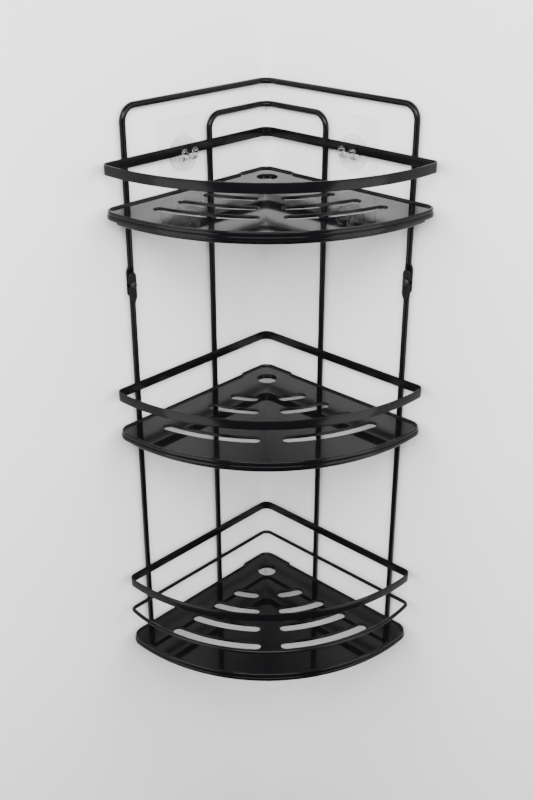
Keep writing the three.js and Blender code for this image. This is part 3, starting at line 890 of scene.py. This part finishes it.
def clear_material(name, colour, roughness, presence):
    """Clear plastic, with a faint flow pattern in its gloss. Presence is how much of it shows."""
    material = bpy.data.materials.new(name)
    material.use_nodes = True
    nodes = material.node_tree.nodes
    links = material.node_tree.links
    shader = nodes["Principled BSDF"]
    shader.inputs["Base Color"].default_value = (*colour, 1.0)
    shader.inputs["Transmission Weight"].default_value = 1.0
    shader.inputs["Alpha"].default_value = presence
    shader.inputs["IOR"].default_value = 1.49
    place = nodes.new("ShaderNodeTexCoord")
    flow = nodes.new("ShaderNodeTexNoise")
    flow.inputs["Scale"].default_value = 90.0
    flow.inputs["Distortion"].default_value = 0.6
    gloss = nodes.new("ShaderNodeMapRange")
    gloss.inputs["To Min"].default_value = roughness * 0.6
    gloss.inputs["To Max"].default_value = roughness * 1.5
    bump = nodes.new("ShaderNodeBump")
    bump.inputs["Strength"].default_value = 0.05
    bump.inputs["Distance"].default_value = 0.0003
    links.new(place.outputs["Object"], flow.inputs["Vector"])
    links.new(flow.outputs["Fac"], gloss.inputs["Value"])
    links.new(gloss.outputs["Result"], shader.inputs["Roughness"])
    links.new(flow.outputs["Fac"], bump.inputs["Height"])
    links.new(bump.outputs["Normal"], shader.inputs["Normal"])
    return material


def wall_matrix(side, reach, level):
    """From a shape drawn with +X along the wall, +Y up and +Z out of the wall, to its place."""
    along = Vector((1, -side, 0)).normalized()
    up = Vector((0, 0, 1))
    out = Vector((-side, -1, 0)).normalized()
    turn = Matrix((along, up, out)).transposed().to_4x4()
    return Matrix.Translation(on_wall(side, reach, 0).to_3d() + Vector((0, 0, level))) @ turn


def rounded_square(size, radius, segments):
    inner = size / 2 - radius
    points = []
    for i, (x, y) in enumerate(((1, 1), (-1, 1), (-1, -1), (1, -1))):
        points += arc_points((x * inner, y * inner), radius, i * math.pi / 2, (i + 1) * math.pi / 2, segments)
    return points


def slab_mesh(name, outline, profile):
    """A flat piece whose edge follows a profile of (distance outwards, height), from back to front."""
    body = bmesh.new()
    rings = [
        [body.verts.new((p.x, p.y, height)) for p in moved_outline(outline, outwards)]
        for outwards, height in profile
    ]
    for lower, upper in zip(rings, rings[1:]):
        for i in range(len(lower)):
            body.faces.new((lower[i - 1], lower[i], upper[i], upper[i - 1])).smooth = True
    body.faces.new(rings[0])
    body.faces.new(rings[-1])
    bmesh.ops.recalc_face_normals(body, faces=body.faces)
    mesh = bpy.data.meshes.new(name)
    body.to_mesh(mesh)
    body.free()
    return mesh


clear_film = clear_material("clear adhesive film", (0.97, 0.98, 0.98), 0.12, 0.09)
pad_low, pad_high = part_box("adhesive_pad_left")
pad_level = (pad_low[2] + pad_high[2]) / 2
pad_size = pad_high[2] - pad_low[2]
for hand, side in SIDES.items():
    profile = [
        (-0.3 * MM, 0.02 * MM), (0, 0.2 * MM), (0, 0.45 * MM), (-0.25 * MM, 0.5 * MM),
        (-0.25 * MM, 0.55 * MM), (0, 0.6 * MM), (0, 0.85 * MM), (-0.3 * MM, PAD_THICKNESS),
    ]
    mesh = slab_mesh(f"adhesive_pad_{hand}_film", rounded_square(pad_size, PAD_CORNER_RADIUS, 10), profile)
    mesh.transform(wall_matrix(side, HOOK_REACH, pad_level))
    pad = add_object(mesh.name, mesh)
    finish_piece(pad, clear_film, "wall_hooks", [f"adhesive_pad_{hand}"])

# ---- hooks ----
# One clear moulding on each pad: a round disc with a raised rim, and two round prongs that reach under
# the top rail and turn up in front of it.
DISC_RADIUS = 17.5 * MM
DISC_DROP = 5.0 * MM
DISC_BACK = 1.3 * MM
DISC_FRONT = 5.3 * MM
PRONG_RADIUS = 3.0 * MM
PRONG_SPACING = 13.4 * MM
PRONG_BEND_RADIUS = 4.0 * MM
PRONG_DISTANCE = 12.6 * MM
PRONG_RISE = 9.6 * MM
RAIL_REST_GAP = 0.3 * MM
prong_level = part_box("top_rail")[0][2] - RAIL_REST_GAP - PRONG_RADIUS


def rounded_rod_tapers(points, radius):
    """Tapers that give a rod a round end at its last point."""
    tapers = []
    length = 0.0
    for i in range(len(points) - 1, -1, -1):
        if i < len(points) - 1:
            length += (points[i] - points[i + 1]).length
        tapers.append(math.sqrt(max(0.02, 1 - max(0.0, 1 - length / radius) ** 2)))
    return tapers[::-1]


def hook_piece(hand):
    """The moulding, and the number of its faces that belong to the disc and come before the prongs."""
    profile = [
        (0, DISC_BACK), (DISC_RADIUS - 0.5 * MM, DISC_BACK), (DISC_RADIUS, DISC_BACK + 0.5 * MM),
        (DISC_RADIUS, DISC_FRONT - 1.0 * MM), (DISC_RADIUS - 0.3 * MM, DISC_FRONT - 0.3 * MM),
        (DISC_RADIUS - 1.0 * MM, DISC_FRONT), (DISC_RADIUS - 2.0 * MM, DISC_FRONT - 0.25 * MM),
        (DISC_RADIUS - 2.6 * MM, DISC_FRONT - 0.9 * MM), (0, DISC_FRONT - 0.9 * MM),
    ]
    body = lathe(profile, 72)
    mesh = bpy.data.meshes.new(f"hook_{hand}_moulding")
    body.to_mesh(mesh)
    body.free()
    mesh.transform(Matrix.Translation((0, -DISC_DROP, 0)))
    low = prong_level - pad_level
    body = bmesh.new()
    body.from_mesh(mesh)
    for shift in (-PRONG_SPACING / 2, PRONG_SPACING / 2):
        corners = [
            Vector((shift, low, DISC_BACK + 1.5 * MM)),
            Vector((shift, low, PRONG_DISTANCE)),
            Vector((shift, low + PRONG_RISE - PRONG_RADIUS, PRONG_DISTANCE)),
        ]
        line = bent_line(corners, [PRONG_BEND_RADIUS], 12)
        tip = Vector((shift, low + PRONG_RISE, PRONG_DISTANCE))
        line += finely_cut(corners[-1], tip, 0.25 * MM)[1:] + [tip]
        prong = round_wire("prong", line, PRONG_RADIUS, clear_prong, rounded_rod_tapers(line, PRONG_RADIUS))
        facing_out(prong)
        body.from_mesh(prong.data)
        bpy.data.objects.remove(prong)
    disc_faces = len(mesh.polygons)
    body.to_mesh(mesh)
    body.free()
    mesh.transform(wall_matrix(SIDES[hand], HOOK_REACH, pad_level))
    return add_object(mesh.name, mesh), disc_faces


clear_plastic = clear_material("clear moulded plastic", (0.96, 0.98, 0.98), 0.04, 0.25)
clear_prong = clear_material("clear prong", (0.96, 0.98, 0.98), 0.04, 0.9)
for hand in SIDES:
    hook, disc_faces = hook_piece(hand)
    finish_piece(hook, clear_plastic, "wall_hooks", [f"hook_{hand}"], 40)
    hook.data.materials.append(clear_prong)
    for face in hook.data.polygons[disc_faces:]:
        face.material_index = 1
